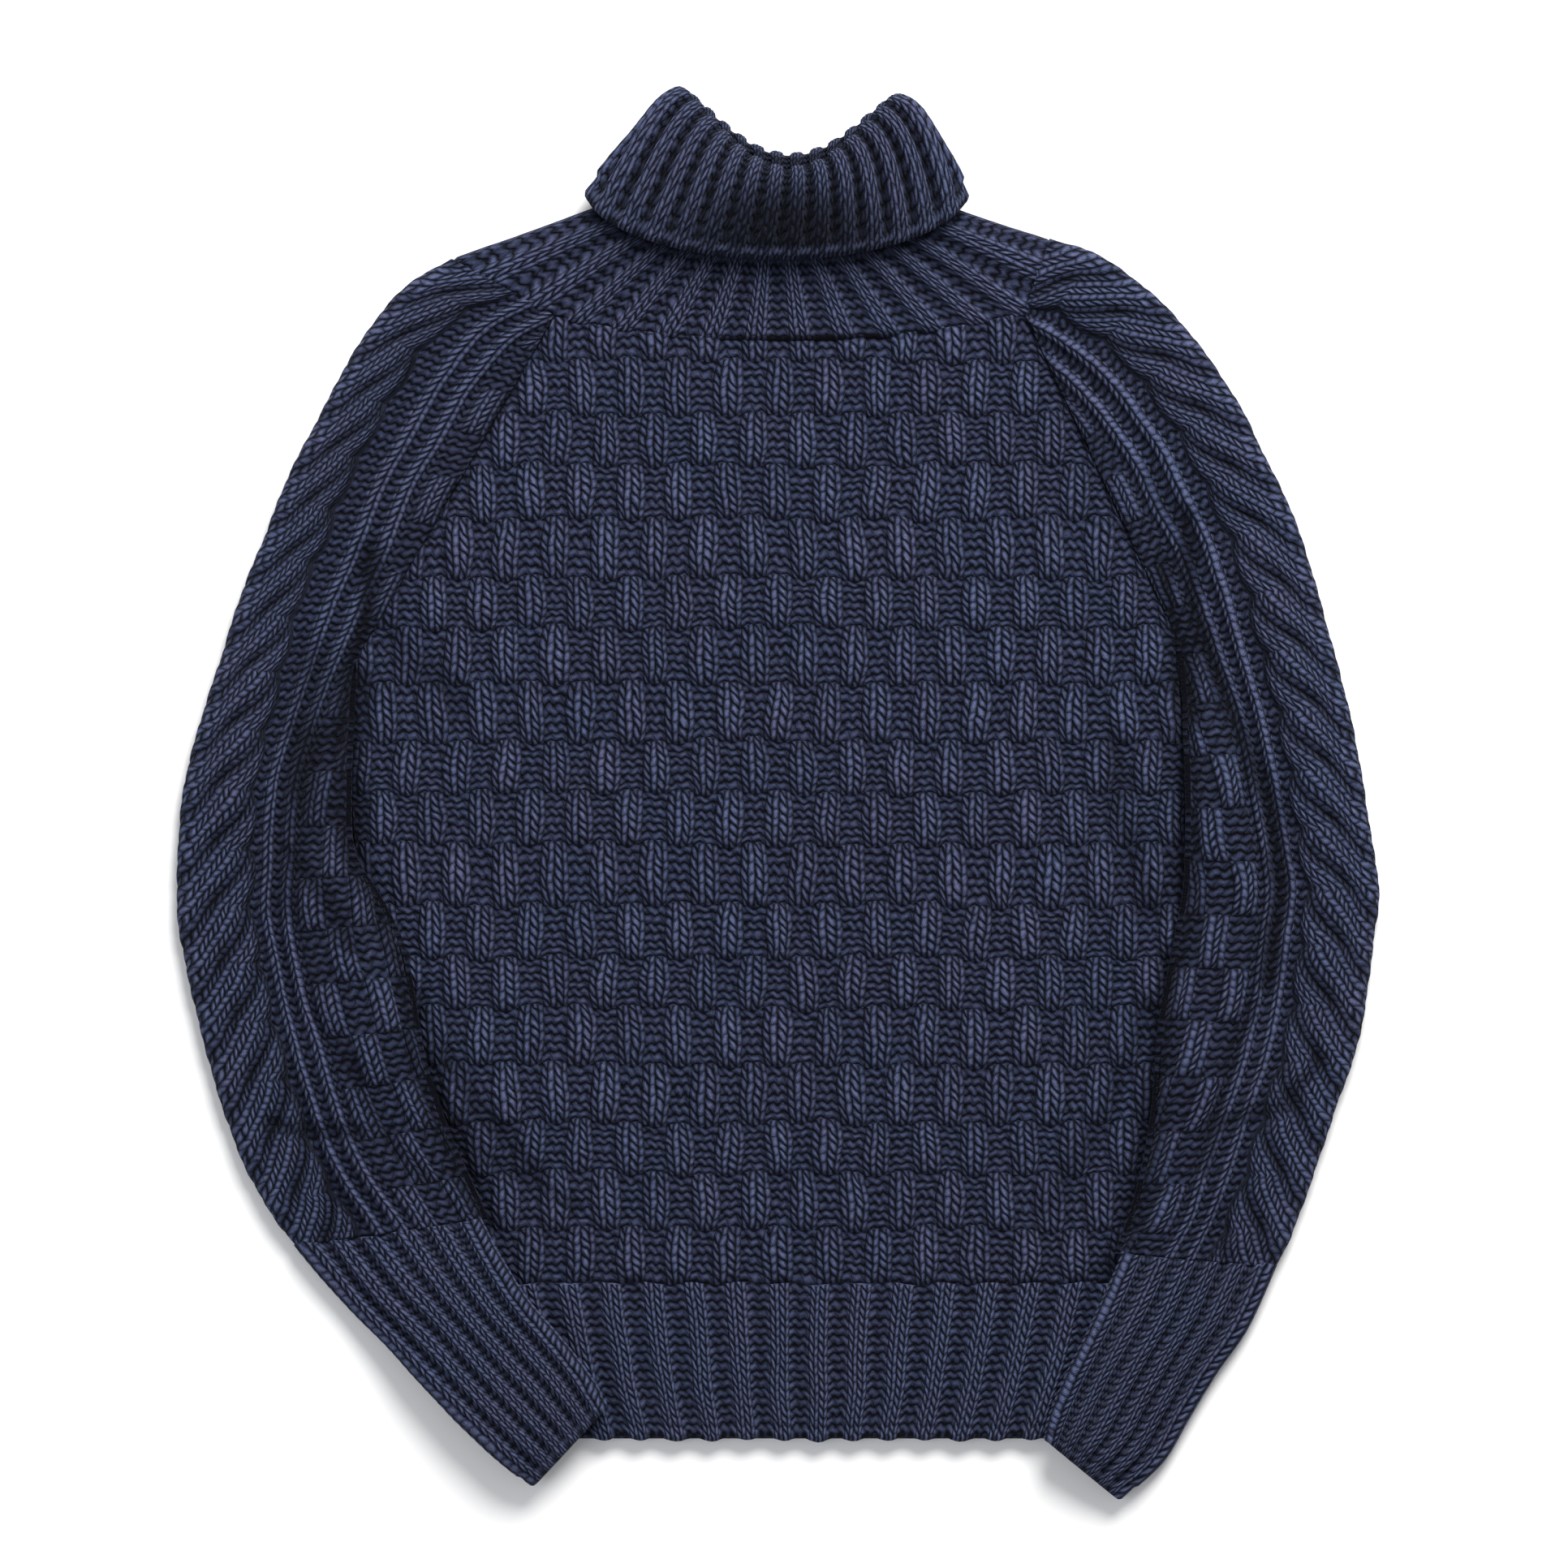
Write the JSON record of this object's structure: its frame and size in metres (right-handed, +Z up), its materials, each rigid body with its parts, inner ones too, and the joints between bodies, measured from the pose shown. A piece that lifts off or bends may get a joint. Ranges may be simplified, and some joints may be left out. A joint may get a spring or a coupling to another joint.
{
  "type": "turtleneck sweater",
  "caption": "Chunky knitted raglan turtleneck sweater laid flat, with a basket-stitch front, rope-cable sleeves and a folded ribbed collar.",
  "frame": {"origin": "on the flat underside of the back panel, near the middle of the garment's outline", "axes": "+X towards the wearer's left sleeve, +Y from the hem to the collar, +Z up from the surface that the garment lies on"},
  "size_m": [0.6644, 0.7813, 0.0473],
  "materials": {
    "navy_knit": "matt chunky wool knit, heathered dark navy"
  },
  "bodies": {
    "root": {"front_panel": "navy_knit", "front_hem_rib": "navy_knit", "back_panel": "navy_knit", "back_hem_rib": "navy_knit", "sleeve_right": "navy_knit", "sleeve_left": "navy_knit", "cuff_right": "navy_knit", "cuff_left": "navy_knit", "neckband": "navy_knit", "collar": "navy_knit"}
  },
  "joints": []
}
